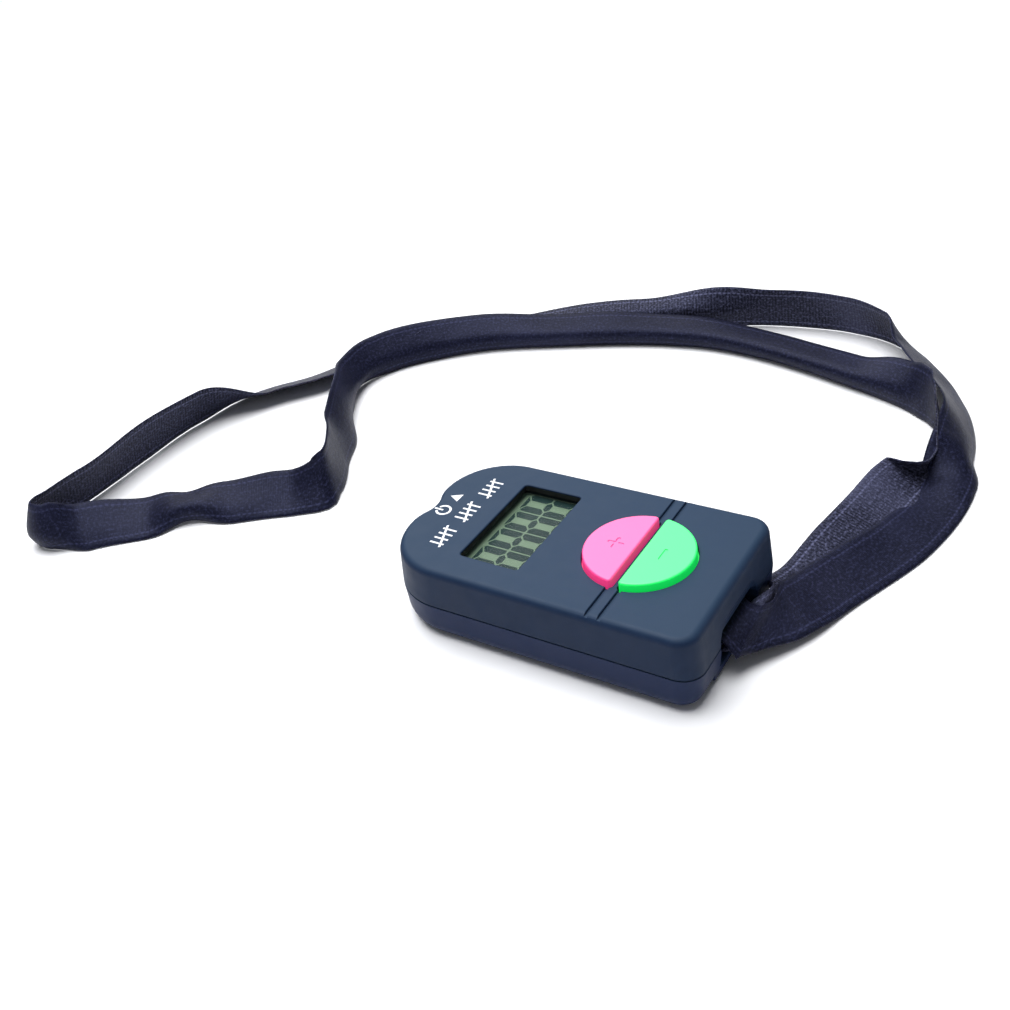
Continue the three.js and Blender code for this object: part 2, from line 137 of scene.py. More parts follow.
def loft(name, rings):
    """A closed solid through rings that all have the same number of points."""
    count = len(rings[0])
    faces = [tuple(range(count)), tuple(range((len(rings) - 1) * count, len(rings) * count))]
    for k in range(len(rings) - 1):
        for i in range(count):
            a, b = k * count + i, k * count + (i + 1) % count
            faces.append((a, b, b + count, a + count))
    return recalculated(mesh_object(name, [p for ring in rings for p in ring], faces))


def prism(name, outline, levels, to_space=lambda a, b, c: (a, b, c)):
    """levels lists (height, inset); outline(inset) gives the points of that ring."""
    return loft(name, [[to_space(a, b, c) for a, b in outline(inset)] for c, inset in levels])


def along_y(a, b, c):
    return a, c, b


def tapered(x, y, z):
    away = abs(z - PARTING)
    return x * (1 - 0.0008 * away), y * (1 - 0.0027 * away), z


def arc(cx, cy, r, start, end, steps):
    return [
        (cx + r * cos(start + (end - start) * i / steps), cy + r * sin(start + (end - start) * i / steps))
        for i in range(steps + 1)
    ]


def bezier(a, b, c, d, steps):
    points = []
    for i in range(1, steps + 1):
        t = i / steps
        w = ((1 - t) ** 3, 3 * t * (1 - t) ** 2, 3 * t * t * (1 - t), t**3)
        points.append(tuple(sum(k * p[axis] for k, p in zip(w, (a, b, c, d))) for axis in (0, 1)))
    return points


def case_outline(inset):
    half, end = WIDTH / 2 - inset, LENGTH / 2 - inset
    r, shoulder, dip = 4.5 - inset, 14 - inset, LENGTH / 2 - inset - 1.4
    points = arc(half - r, r - end, r, -pi / 2, 0, 10)
    points += arc(half - shoulder, end - shoulder, shoulder, 0, pi / 2, 28)
    points += bezier((half - shoulder, end), (3.4, end), (3, dip), (0, dip), 14)
    points += bezier((0, dip), (-3, dip), (-3.4, end), (shoulder - half, end), 14)
    points += arc(shoulder - half, end - shoulder, shoulder, pi / 2, pi, 28)[1:]
    return points + arc(r - half, r - end, r, pi, 1.5 * pi, 10)


def rectangle(x0, x1, y0, y1, r):
    def outline(inset):
        a, b, c, d = x0 + inset, x1 - inset, y0 + inset, y1 - inset
        k = max(r - inset, 0.05)
        points = arc(b - k, c + k, k, -pi / 2, 0, 6) + arc(b - k, d - k, k, 0, pi / 2, 6)
        return points + arc(a + k, d - k, k, pi / 2, pi, 6) + arc(a + k, c + k, k, pi, 1.5 * pi, 6)

    return outline


def circle(x, y, r, steps=64):
    return lambda inset: arc(x, y, r - inset, 0, 2 * pi, steps)[:-1]


def half_disc(radius, chord, side, fillet=0.7):
    """Half of a disc round the middle of the two keys, side 1 to the head end."""

    def outline(inset):
        out, line, f = radius - inset, chord + inset, max(fillet - inset, 0.05)
        x = sqrt((out - f) ** 2 - (line + f) ** 2)
        turn = atan2(line + f, x)
        points = arc(x, line + f, f, -pi / 2, turn, 6)
        points += arc(0, 0, out, turn, pi - turn, 56)[1:-1]
        points += arc(-x, line + f, f, pi - turn, 1.5 * pi, 6)
        return [(a, BUTTON_Y + side * b) for a, b in points]

    return outline


def rounding(z, r, steps, up=True):
    """Levels of a rim rounded with radius r that ends at height z."""
    levels = []
    for i in range(steps + 1):
        turn = pi / 2 * i / steps
        levels.append((z - r + r * sin(turn) if up else z + r - r * sin(turn), r * (1 - cos(turn))))
    return levels if up else levels[::-1]


def joined(objs):
    """One mesh of several, for use as a cutter."""
    shape = bmesh.new()
    for obj in objs:
        shape.from_mesh(obj.data)
        bpy.data.objects.remove(obj)
    mesh = bpy.data.meshes.new("joined")
    shape.to_mesh(mesh)
    shape.free()
    obj = bpy.data.objects.new("joined", mesh)
    bpy.context.scene.collection.objects.link(obj)
    return obj


def worked(obj, *steps):
    """obj after these steps in order, each (operation, tools); the tools of one step don't overlap."""
    tools = []
    for operation, objs in steps:
        tool = joined(objs)
        tools.append(tool)
        modifier = obj.modifiers.new(operation, "BOOLEAN")
        modifier.operation = operation
        modifier.solver = "EXACT"
        modifier.object = tool
    graph = bpy.context.evaluated_depsgraph_get()
    mesh = bpy.data.meshes.new_from_object(obj.evaluated_get(graph))
    obj.modifiers.clear()
    obj.data = mesh
    for tool in tools:
        bpy.data.objects.remove(tool)
    return obj


def smooth(obj, angle=32):
    obj.data.shade_smooth()
    obj.data.set_sharp_from_angle(angle=radians(angle))
    modifier = obj.modifiers.new("normals", "WEIGHTED_NORMAL")
    modifier.keep_sharp = True
    return obj


CUT, ADD = "DIFFERENCE", "UNION"
BOSSES = [(-14.5, -28.8), (14.5, -28.8), (-13.2, 22.8), (13.2, 22.8)]


# ---------------------------------------------------------------- materials
def linear(r, g, b):
    """The linear colour of three numbers from 0 to 255."""
    channels = (c / 255 / 12.92 if c <= 10 else ((c / 255 + 0.055) / 1.055) ** 2.4 for c in (r, g, b))
    return (*channels, 1)


class Nodes:
    """A short way to write a material's node tree."""

    def __init__(self, name):
        self.material = bpy.data.materials.new(name)
        self.material.use_nodes = True
        self.tree = self.material.node_tree
        self.tree.nodes.clear()
        self.surface = self.add("BsdfPrincipled")
        output = self.add("OutputMaterial")
        self.tree.links.new(self.surface.outputs[0], output.inputs[0])

    def add(self, kind, inputs=None, **settings):
        node = self.tree.nodes.new("ShaderNode" + kind)
        for key, value in settings.items():
            setattr(node, key, value)
        for key, value in (inputs or {}).items():
            self.put(node.inputs[key], value)
        return node

    def put(self, socket, value):
        if isinstance(value, bpy.types.NodeSocket):
            self.tree.links.new(value, socket)
        else:
            socket.default_value = value

    def set(self, **values):
        for key, value in values.items():
            self.put(self.surface.inputs[key.replace("_", " ")], value)

    def place(self, cloth=False):
        return self.add("TexCoord").outputs["UV" if cloth else "Object"]

    def noise(self, place, scale, detail=3.0, rough=0.55):
        inputs = {"Vector": place, "Scale": scale, "Detail": detail, "Roughness": rough}
        return self.add("TexNoise", inputs).outputs["Fac"]

    def span(self, value, low, high, to_low, to_high):
        inputs = {"Value": value, "From Min": low, "From Max": high, "To Min": to_low, "To Max": to_high}
        return self.add("MapRange", inputs).outputs[0]

    def math(self, operation, a, b=0.0):
        return self.add("Math", {0: a, 1: b}, operation=operation).outputs[0]

    def mix(self, factor, a, b):
        return self.add("Mix", {0: factor, 6: a, 7: b}, data_type="RGBA").outputs[2]

    def bump(self, height, distance, strength=1.0, normal=None):
        inputs = {"Height": height, "Distance": distance, "Strength": strength}
        if normal is not None:
            inputs["Normal"] = normal
        return self.add("Bump", inputs).outputs[0]


def shade(colour, by):
    return tuple(c * by for c in colour[:3]) + (1,)


def finish(
    name, colour, rough=0.5, metal=0.0, grain=0.25, depth=0.01, mottle=0.08, wear=0.0, gloss=0.5,
    top=None, **more
):
    """Moulded, plated or printed stock: grain is the size of its surface texture in mm and depth its height.

    top is a lighter colour painted onto the faces that look up, as painted light from above, and gloss the
    specular level.
    """
    n = Nodes(name)
    place = n.place()
    broad = n.noise(place, 90.0, 4.0)
    fine = n.noise(place, 1000 / grain, 2.0, 0.6)
    shown = n.mix(n.span(broad, 0.3, 0.7, 0.0, 1.0), shade(colour, 1 - mottle), shade(colour, 1 + mottle))
    # painted light: the faces that look up blend towards the lighter top colour
    if top:
        up = n.add("SeparateXYZ", {0: n.add("NewGeometry").outputs["Normal"]}).outputs[2]
        shown = n.mix(n.span(up, 0.55, 0.98, 0.0, 1.0), shown, top)
    if wear:
        edge = n.span(n.add("NewGeometry").outputs["Pointiness"], 0.51, 0.6, 0.0, wear)
        broken = n.math("MULTIPLY", edge, n.span(n.noise(place, 700.0), 0.4, 0.6, 0.3, 1.0))
        shown = n.mix(broken, shown, shade(colour, 2.2))
    n.set(Base_Color=shown, Metallic=metal)
    n.set(Roughness=n.span(n.noise(place, 260.0, 5.0), 0.25, 0.75, rough - 0.05, rough + 0.07))
    n.set(Normal=n.bump(fine, depth * MM))
    n.set(Specular_IOR_Level=gloss)
    n.set(**more)
    return n.material


def cloth(name, colour, light, rib, rough, sheen, relief):
    """Woven ribbon. rib is the pitch of its ribs in mm; UV is distance along and across the ribbon."""
    n = Nodes(name)
    place = n.place(cloth=True)
    parts = n.add("SeparateXYZ", {0: place})
    along, across = parts.outputs[0], parts.outputs[1]
    weft = n.math("SINE", n.math("MULTIPLY", along, 2 * pi / (rib * MM)))
    warp = n.math("SINE", n.math("MULTIPLY", across, 2 * pi / (rib * 0.8 * MM)))
    threads = n.math("MULTIPLY", weft, n.math("ADD", n.math("MULTIPLY", warp, 0.35), 0.65))
    slub = n.add("Mapping", {"Vector": place, "Scale": (260, 2600, 1)}).outputs[0]
    streak = n.noise(slub, 1.0, 3.0)
    crumple = n.noise(n.place(), 130.0, 3.0)
    # the selvedge: a stitched line a little inside each edge
    edge = n.math("ABSOLUTE", across)
    line = n.span(n.math("ABSOLUTE", n.math("SUBTRACT", edge, 4.6 * MM)), 0.0, 0.3 * MM, 1.0, 0.0)
    stitch = n.math("SINE", n.math("MULTIPLY", along, 2 * pi / (1.3 * MM)))
    seam = n.math("MULTIPLY", line, n.span(stitch, -0.6, 0.4, 0.25, 1.0))
    speck = n.noise(place, 1500.0, 3.0, 0.7)
    tone = n.mix(n.span(streak, 0.3, 0.75, 0.15, 1.0), colour, light)
    tone = n.mix(n.span(threads, -0.9, 0.5, relief, 0.0), tone, shade(colour, 0.3))
    tone = n.mix(n.span(speck, 0.5, 0.68, 0.0, 0.75), tone, shade(light, 2.6))
    tone = n.mix(n.span(speck, 0.3, 0.46, 0.5, 0.0), tone, shade(colour, 0.3))
    tone = n.mix(n.math("MULTIPLY", seam, 0.8), tone, shade(light, 3.4))
    # painted sheen and painted shade: broad lighter and darker patches at random places along the ribbon
    uneven_sheen_patches = n.noise(n.place(), 24.0, 2.0)
    tone = n.mix(n.span(uneven_sheen_patches, 0.56, 0.7, 0.0, 0.35), tone, shade(light, 2.4))
    tone = n.mix(n.span(uneven_sheen_patches, 0.3, 0.44, 0.55, 0.0), tone, shade(colour, 0.5))
    height = n.math("SUBTRACT", n.math("ADD", threads, n.math("MULTIPLY", streak, 0.5)), seam)
    n.set(Base_Color=tone)
    n.set(Roughness=n.span(streak, 0.2, 0.8, rough - 0.07, rough + 0.1))
    n.set(Normal=n.bump(height, rib * 0.05 * MM, 0.8, n.bump(crumple, 0.5 * MM, 0.6)))
    n.set(Sheen_Weight=sheen, Sheen_Roughness=0.35, Sheen_Tint=linear(190, 190, 225))
    n.set(Specular_IOR_Level=0.2, Specular_Tint=linear(175, 182, 230), Anisotropic=0.4)
    return n.material


def use(obj, *materials):
    obj.data.materials.clear()
    for material in materials:
        obj.data.materials.append(material)
    return obj


# ---------------------------------------------------------------- ribbon
def curve(points):
    """Samples of a centripetal Catmull-Rom curve through the points, and the distance along it to each."""
    p = np.array(points, float)
    p = np.vstack([2 * p[0] - p[1], p, 2 * p[-1] - p[-2]])
    samples = []
    for i in range(1, len(p) - 2):
        q = p[i - 1 : i + 3]
        t = np.concatenate([[0], np.cumsum(np.sqrt(np.linalg.norm(np.diff(q, axis=0), axis=1)))])
        for s in np.linspace(t[1], t[2], 20, endpoint=False):
            a = [(q[k] * (t[k + 1] - s) + q[k + 1] * (s - t[k])) / (t[k + 1] - t[k]) for k in range(3)]
            b = [(a[k] * (t[k + 2] - s) + a[k + 1] * (s - t[k])) / (t[k + 2] - t[k]) for k in range(2)]
            samples.append((b[0] * (t[2] - s) + b[1] * (s - t[1])) / (t[2] - t[1]))
    samples = np.array(samples + [p[-2]])
    return samples, np.concatenate([[0], np.cumsum(np.linalg.norm(np.diff(samples, axis=0), axis=1))])


def eased(at, key, column):
    """A column of the key rows at the distances in at, with a smooth step from each row to the next."""
    i = np.clip(np.searchsorted(key[:, 0], at, side="right") - 1, 0, len(key) - 2)
    f = np.clip((at - key[i, 0]) / (key[i + 1, 0] - key[i, 0]), 0, 1)
    return key[i, column] + (key[i + 1, column] - key[i, column]) * f * f * (3 - 2 * f)


def ribbon_rings(count):
    """The ribbon's middle surface as rings of points across its width, from the pin round and back to it."""
    samples, run = curve([(x / MM, y / MM) for x, y in ROUTE])
    at = np.linspace(0, run[-1], int(run[-1] / RING_STEP))
    points = np.stack([np.interp(at, run, samples[:, k]) for k in range(2)], 1)
    key = np.array([(run[np.argmin(((samples - row[:2]) ** 2).sum(1))], *row[2:]) for row in LIE])
    lean, cup, lift, skew = (eased(at, key, k) for k in (1, 2, 3, 4))
    loose = np.clip(np.minimum(at, at[-1] - at) / 60, 0, 1)
    lean = lean + loose * (1.6 * np.sin(at / 8.3) + 1.1 * np.sin(at / 4.7 + 1))
    cup = cup + loose * 9 * np.sin(at / 11.9 + 2)
    tangent = np.gradient(points, axis=0)
    tangent /= np.linalg.norm(tangent, axis=1)[:, None]
    u = np.linspace(-0.5, 0.5, count)
    between = (u[1:] + u[:-1]) / 2
    rings = []
    for k, (x, y) in enumerate(points):
        centre = CUP_CENTRE if cup[k] >= 0 else 0
        bend = np.radians(lean[k] + cup[k] * 0.5 * np.tanh((between - centre) / CUP_SOFTNESS))
        out = np.concatenate([[0], np.cumsum(np.sin(bend))]) * RIBBON / (count - 1)
        up = np.concatenate([[0], np.cumsum(np.cos(bend))]) * RIBBON / (count - 1)
        out -= out[count // 2]
        up += TABLE_GAP + lift[k] - up.min()
        turn = radians(skew[k])
        tx, ty = tangent[k]
        side = np.array([-ty * cos(turn) - tx * sin(turn), -ty * sin(turn) + tx * cos(turn)])
        gather = max(0.0, 1 - at[k] / GATHER_START, 1 - (at[-1] - at[k]) / GATHER_END)
        gather = gather * gather * (3 - 2 * gather)
        side = side * (1 - gather) + np.array([np.sign(lean[k]), 0]) * gather
        side /= np.linalg.norm(side)
        rings.append(np.stack([x + out * side[0], y + out * side[1], up], 1))
    flat = u * RIBBON

    def band(y, z, x=0.0):
        return np.stack([flat + x, np.full(count, y), np.zeros(count) + z], 1)

    reach = np.linspace(0, 1, 6)[:-1]
    straight = [(PIN_Y + t * (-LENGTH / 2 - 0.6 - PIN_Y), t * t * t) for t in reach]
    turns = np.linspace(0, pi / 2, 7)
    top = [band(PIN_Y + BAND * cos(a), PIN_Z + BAND * sin(a)) for a in turns[:-1]]
    top += [band(y, PIN_Z + BAND - 0.8 * t, -1.6 * t) for y, t in straight]
    rise = 0.44 * (flat + RIBBON / 2)
    low = [band(y, PIN_Z - BAND + t * (rise - 0.8), 2.4 * t) for y, t in straight[::-1]]
    low += [band(PIN_Y + BAND * cos(a), PIN_Z - BAND * sin(a)) for a in turns[1:-1][::-1]]
    return np.array(top + rings + low)


def ribbon():
    count = 17
    middle = ribbon_rings(count)
    total = len(middle)
    ahead, behind = np.roll(middle, -1, axis=0), np.roll(middle, 1, axis=0)
    across = np.gradient(middle, axis=1)
    normal = np.cross(ahead - behind, across)
    for _ in range(2):
        normal = normal + np.roll(normal, 1, axis=0) + np.roll(normal, -1, axis=0)
    normal /= np.linalg.norm(normal, axis=2)[:, :, None]
    half = np.full(count, CLOTH / 2)
    half[[0, -1]] *= 0.45
    front, back = middle + normal * half[None, :, None], middle - normal * half[None, :, None]
    points = np.concatenate([front, back], axis=1).reshape(-1, 3)
    run = np.concatenate([[0], np.cumsum(np.linalg.norm(np.diff(middle[:, count // 2], axis=0), axis=1))])
    width = np.linspace(-0.5, 0.5, count) * RIBBON
    faces, places, sides = [], [], []
    for i in range(total):
        a, b = i * 2 * count, (i + 1) % total * 2 * count
        s0, s1 = run[i], run[i] + np.linalg.norm(middle[(i + 1) % total, count // 2] - middle[i, count // 2])
        for j in range(count - 1):
            v0, v1 = width[j], width[j + 1]
            faces.append((a + j, b + j, b + j + 1, a + j + 1))
            faces.append((a + count + j, a + count + j + 1, b + count + j + 1, b + count + j))
            places += [(s0, v0), (s1, v0), (s1, v1), (s0, v1), (s0, v0), (s0, v1), (s1, v1), (s1, v0)]
            sides += [0, 1]
        last = count - 1
        faces.append((a, a + count, b + count, b))
        faces.append((a + last, b + last, b + count + last, a + count + last))
        places += [(s0, width[0]), (s0, width[0]), (s1, width[0]), (s1, width[0])]
        places += [(s0, width[-1]), (s1, width[-1]), (s1, width[-1]), (s0, width[-1])]
        sides += [1, 1]
    obj = mesh_object("neck_ribbon_cloth", points.tolist(), faces)
    layer = obj.data.uv_layers.new(name="cloth")
    layer.data.foreach_set("uv", (np.array(places) * MM).ravel())
    satin = cloth("ribbon_satin", linear(10, 12, 26), linear(27, 29, 47), 0.42, 0.45, 0.02, 0.4)
    weave = cloth("ribbon_weave", linear(8, 9, 20), linear(58, 60, 80), 0.85, 0.5, 0.02, 0.95)
    use(obj, satin, weave)
    obj.data.polygons.foreach_set("material_index", sides)
    obj.data.shade_smooth()
    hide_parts("neck_ribbon", "ribbon_bight")
    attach(obj, "case")


# ---------------------------------------------------------------- case
def slot_tools():
    end = -LENGTH / 2
    deep = [(t * t * (3 - 2 * t), t) for t in (i / 8 for i in range(9))]
    levels = [(end - 2, -2.0)] + [(end + 0.95 * d, -2.0 + 3.2 * t) for d, t in deep]
    dish = prism("dish", rectangle(-7.9, 7.9, 4.6, 11.6, 2.6), levels, along_y)
    flare = [(end + 0.4, -0.5), (end + 1.3, 0), (-28.4, 0)]
    mouth = prism("mouth", rectangle(-8.2, 8.2, 2.9, 9.6, 1.2), flare, along_y)
    return [dish], [mouth]


def reset_opening():
    return prism("opening", rectangle(-3.95, 3.95, 10.85, 14.35, 1.1), [(31, 0), (40, 0)], along_y)


def paint_shade_on(obj, inside, index=1):
    """The faces whose middle lies inside the box take the material at index; this paints shade onto them."""
    low, high = (Vector(c) * MM for c in inside)
    for face in obj.data.polygons:
        c = face.center
        if all(low[k] < c[k] < high[k] for k in range(3)):
            face.material_index = index


def front_shell(plastic, shade_paint):
    z0 = PARTING + SEAM
    levels = [(z0, 0.14), (z0 + 0.06, 0.04), (z0 + 0.16, 0)] + rounding(HEIGHT, 1.6, 8)
    shell = prism("front_shell", case_outline, levels, tapered)
    under = HEIGHT - 1.5
    hollow = prism("hollow", case_outline, [(PARTING - 1, 1.7), (under, 1.7)], tapered)
    posts = [prism("post", circle(x, y, 2.2, 28), [(PARTING + 0.3, 0), (under + 0.5, 0)]) for x, y in BOSSES]
    posts += [prism("post", circle(x, -1.5, 1.8, 28), [(11.1, 0), (under + 0.5, 0)]) for x in (-16.2, 16.2)]
    pilots = [prism("pilot", circle(x, y, 1.3, 20), [(PARTING, 0), (13.4, 0)]) for x, y in BOSSES]
    pilots += [prism("pilot", circle(x, -1.5, 1.1, 20), [(10.8, 0), (14, 0)]) for x in (-16.2, 16.2)]
    rim = [(16.72, 0), (16.92, -0.05), (17.03, -0.17), (17.12, -0.38), (18, -0.8)]
    window = prism("window", rectangle(-13.2, 13.2, 4.7, 18.2, 0.8), [(14, 0)] + rim)
    edge = [(16.9, 0), (17.04, -0.06), (17.12, -0.2), (18, -0.4)]
    keys = [prism("key", half_disc(11.3, 0.45, side, 0.9), [(14, 0)] + edge) for side in (-1, 1)]
    grooves = []
    scored = [(16.58, 0.1), (16.66, 0), (16.98, 0), (17.12, -0.14), (18, -0.5)]
    for side in (-1, 1):
        y = BUTTON_Y + side * 1.3
        grooves.append(prism("groove", rectangle(-24, 24, y - 0.35, y + 0.35, 0.1), scored))
    dish, mouth = slot_tools()
    worked(
        shell, (CUT, [hollow]), (ADD, posts), (CUT, pilots + [window, reset_opening()]),
        (CUT, keys), (CUT, grooves), (CUT, dish), (CUT, mouth),
    )
    use(shell, plastic, shade_paint)
    # painted shade: the walls of the window's recess take the black material in place of the shade that falls
    # in the recess
    paint_shade_on(shell, [(-13.6, 4.3, 14), (13.6, 18.7, 16.8)])
    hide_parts("front_case")
    return shell


def rear_shell(plastic, shade_paint):
    z1 = PARTING - SEAM
    levels = rounding(0, 3.6, 12, up=False) + [(z1 - 0.16, 0), (z1 - 0.06, 0.04), (z1, 0.14)]
    shell = prism("rear_shell", case_outline, levels, tapered)
    hollow = prism("hollow", case_outline, [(1.9, 1.7), (PARTING + 1, 1.7)], tapered)
    pocket = prism("pocket", rectangle(-10.8, 10.8, -34.6, -27.2, 0.3), [(1, 0), (z1, 0)])
    inside = prism("inside", rectangle(-9, 9, -40, -28.4, 0.3), [(2.9, 0), (20, 0)])
    posts = [prism("post", circle(x, y, 3.2, 32), [(1, 0), (PARTING - 0.3, 0)]) for x, y in BOSSES]
    pilots = [prism("pilot", circle(x, y, 1.3, 20), [(-1, 0), (PARTING + 1, 0)]) for x, y in BOSSES]
    sink = [(-1, -0.6), (-0.02, -0.35), (0.3, 0), (3.2, 0)]
    heads = [prism("head", circle(x, y, 2.3, 32), sink) for x, y in BOSSES]
    well = prism("well", circle(0, 8, 10.1), [(1, 0), (9.2, 0)])
    bore = prism("bore", circle(0, 8, 8.9), [(1.9, 0), (20, 0)])
    hole = prism("hole", circle(0, 8, 7.7), [(-1, 0), (5, 0)])
    recess = prism("recess", circle(0, 8, 9), [(-1, -0.6), (-0.02, -0.3), (0.25, 0), (1.35, 0)])
    notches = prism("notches", rectangle(-8.5, 8.5, -1.6, 1.6, 0.3), [(-1, 0), (2, 0)])
    turn = radians(60)
    for v in notches.data.vertices:
        x, y = v.co.x, v.co.y
        v.co.x, v.co.y = x * cos(turn) - y * sin(turn), x * sin(turn) + y * cos(turn) + 8 * MM
    pin = prism("pin", circle(PIN_Y, PIN_Z, 1.55, 28), [(-10.5, 0), (10.5, 0)], lambda a, b, c: (c, a, b))
    dots = []
    for angle, size in ((90, 0.75), (150, 0.45)):
        x, y = 11.2 * cos(radians(angle)), 8 + 11.2 * sin(radians(angle))
        dots.append(prism("dot", circle(x, y, size, 28), [(-1, 0), (0.22, 0)]))
    dish, mouth = slot_tools()
    worked(
        shell, (CUT, [hollow]), (ADD, [pocket]), (CUT, [inside]), (ADD, posts), (CUT, pilots), (CUT, heads),
        (ADD, [well]), (CUT, [bore]), (CUT, [hole]), (CUT, [recess]), (CUT, [notches]),
        (CUT, dish), (CUT, mouth), (CUT, [pin]), (CUT, dots),
    )
    use(shell, plastic, shade_paint)
    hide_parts("rear_case")
    return shell


def key(name, side, node, material):
    base = 14.2
    z = KEY_TOP
    head = prism(name, half_disc(BUTTON_R, CHORD, side), [(base, 0)] + rounding(z, 0.45, 5))
    flange = prism("flange", half_disc(BUTTON_R + 1, CHORD, side, 1.2), [(base, 0), (base + 1.1, 0)])
    y = BUTTON_Y + side * 5
    stem = prism("stem", circle(0, y, 2.6, 32), [(13.6, 0), (base + 0.5, 0)])
    groove = [(z - 0.2, 0.12), (z - 0.12, 0), (z - 0.03, 0), (z + 0.5, -0.3)]
    across = prism("across", rectangle(-1.75, 1.75, y - 0.36, y + 0.36, 0.34), groove)
    steps = [(ADD, [flange]), (ADD, [stem]), (CUT, [across])]
    if side > 0:
        steps.append((CUT, [prism("upright", rectangle(-0.36, 0.36, y - 1.75, y + 1.75, 0.34), groove)]))
    worked(head, *steps)
    use(head, material)
    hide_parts(node)
    return head


def rubber_dome(name, material):
    """The dome under a key, in its rest shape; the real dome flattens as the key goes down."""
    node = bpy.data.objects[f"{name}_dome"]
    mesh = node.data.copy()
    mesh.transform(node.matrix_world)
    obj = bpy.data.objects.new(f"{name}_dome_rubber", mesh)
    bpy.context.scene.collection.objects.link(obj)
    use(obj, material)
    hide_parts(f"{name}_dome")
    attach(obj, "case")
    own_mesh(obj)


def reset_key(material):
    out = 34.3
    levels = [(30.8, 0), (out - 0.4, 0), (out - 0.2, 0.06), (out - 0.06, 0.2), (out, 0.42)]
    obj = prism("reset_key_cap", rectangle(-3.65, 3.65, 11.15, 14.05, 0.9), levels, along_y)
    flange = prism("flange", rectangle(-4.95, 4.95, 11.15, 14.85, 0.3), [(30.7, 0), (31.7, 0)], along_y)
    ribs = []
    for z in (12.0, 12.6, 13.2):
        line = rectangle(-2.6, 2.6, z - 0.13, z + 0.13, 0.12)
        ribs.append(prism("rib", line, [(out - 0.18, 0), (36, 0)], along_y))
    worked(obj, (ADD, [flange]), (CUT, ribs))
    use(obj, material)
    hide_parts("reset_button")
    return obj


def battery_cap(material):
    levels = rounding(0.25, 0.3, 4, up=False) + [(1.0, 0), (1.05, 0.05)]
    obj = prism("battery_cover", circle(0, 8, 8.7, 96), levels)
    plug = prism("plug", circle(0, 8, 7.4), [(0.9, 0), (3, 0)])
    lugs = prism("lugs", rectangle(-8.3, 8.3, 6.6, 9.4, 0.3), [(2.2, 0), (2.9, 0)])
    coin = prism("coin", rectangle(-5, 5, 7.2, 8.8, 0.75), [(-1, -0.7), (0.2, -0.12), (0.4, 0), (1.1, 0)])
    ring = prism("ring", circle(0, 8, 7.6, 96), [(-1, 0), (0.42, 0)])
    core = prism("core", circle(0, 8, 7.15, 96), [(0.25, 0), (0.6, 0)])
    mark = prism("mark", circle(0, 14.0, 0.5, 24), [(-1, 0), (0.45, 0)])
    worked(obj, (ADD, [plug]), (ADD, [lugs]), (CUT, [ring]), (ADD, [core]), (CUT, [coin]), (CUT, [mark]))
    use(obj, material)
    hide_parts("battery_cap")
    return obj


# ---------------------------------------------------------------- display and print
def flat_pieces(name, outlines, z0, z1):
    """Thin pieces with these outlines, in one mesh."""
    points, faces = [], []
    for outline in outlines:
        start, count = len(points), len(outline)
        points += [(x, y, z) for z in (z0, z1) for x, y in outline]
        faces.append(tuple(range(start + count - 1, start - 1, -1)))
        faces.append(tuple(range(start + count, start + 2 * count)))
        for i in range(count):
            a, b = start + i, start + (i + 1) % count
            faces.append((a, b, b + count, a + count))
    return recalculated(mesh_object(name, points, faces))


def digit(cx, cy, w, h, t, gap):
    """The outlines of the seven segments of one digit, with a gap between them and bars t wide."""
    x, y, g = w / 2, h / 2, gap / 2
    bar = 1.0  # reach of the pointed ends
    shapes = []
    for s in (-1, 1):
        for v in (-1, 1):
            outer = [(x, g * 2), (x, y - 0.75), (x - 0.55, y - 0.2 - g)]
            inner = [(x - t, y - bar - g), (x - t, bar), (x - t / 2, g)]
            shapes.append([(s * a, v * b) for a, b in outer + inner])
        end = [(-x + 0.75, y), (x - 0.75, y), (x - t - g, y - bar + g), (-x + t + g, y - bar + g)]
        shapes.append([(a, s * b) for a, b in end])
    m = x - t / 2 - gap * 1.7
    shapes.append([(-m, 0), (0.75 - m, 0.72), (m - 0.75, 0.72), (m, 0), (m - 0.75, -0.72), (0.75 - m, -0.72)])
    return [[(cx + a, cy + b) for a, b in shape] for shape in shapes]


def display(ink):
    shapes = []
    for k in range(4):
        shapes += digit(1.0 + (k - 1.5) * 6.4, 11.7, 6.0, 11.4, 1.95, 0.26)
    obj = flat_pieces("lcd_segments", shapes, 14.305, 14.34)
    use(obj, ink)
    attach(obj, "case")


def printed(ink):
    """Generic marks in place of the lettering: bundles of five tally strokes, a power sign and an arrow."""
    strokes, slashes = [], []
    for k in range(3):
        left = -12.9 + k * 9.2
        for i in range(4):
            x = left + 0.9 + i * 1.6
            strokes.append([(x, 22.9), (x + 0.45, 22.9), (x + 0.45, 26.2), (x, 26.2)])
        slashes.append([(left, 23.5), (left + 0.25, 23.1), (left + 7.2, 25.6), (left + 6.95, 26.0)])
    marks = flat_pieces("printed_marks", strokes, HEIGHT - 0.01, HEIGHT + 0.02)
    ring = arc(-1.5, 29.8, 1.75, radians(115), radians(425), 36)
    ring += arc(-1.5, 29.8, 1.25, radians(425), radians(115), 36)
    shapes = slashes + [ring, [(-1.73, 29.9), (-1.27, 29.9), (-1.27, 32.0), (-1.73, 32.0)]]
    shapes.append([(2.2, 28.9), (4.9, 28.9), (3.55, 31.3)])
    more = flat_pieces("printed_signs", shapes, HEIGHT - 0.01, HEIGHT + 0.025)
    for obj in (marks, more):
        use(obj, ink)
        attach(obj, "case")


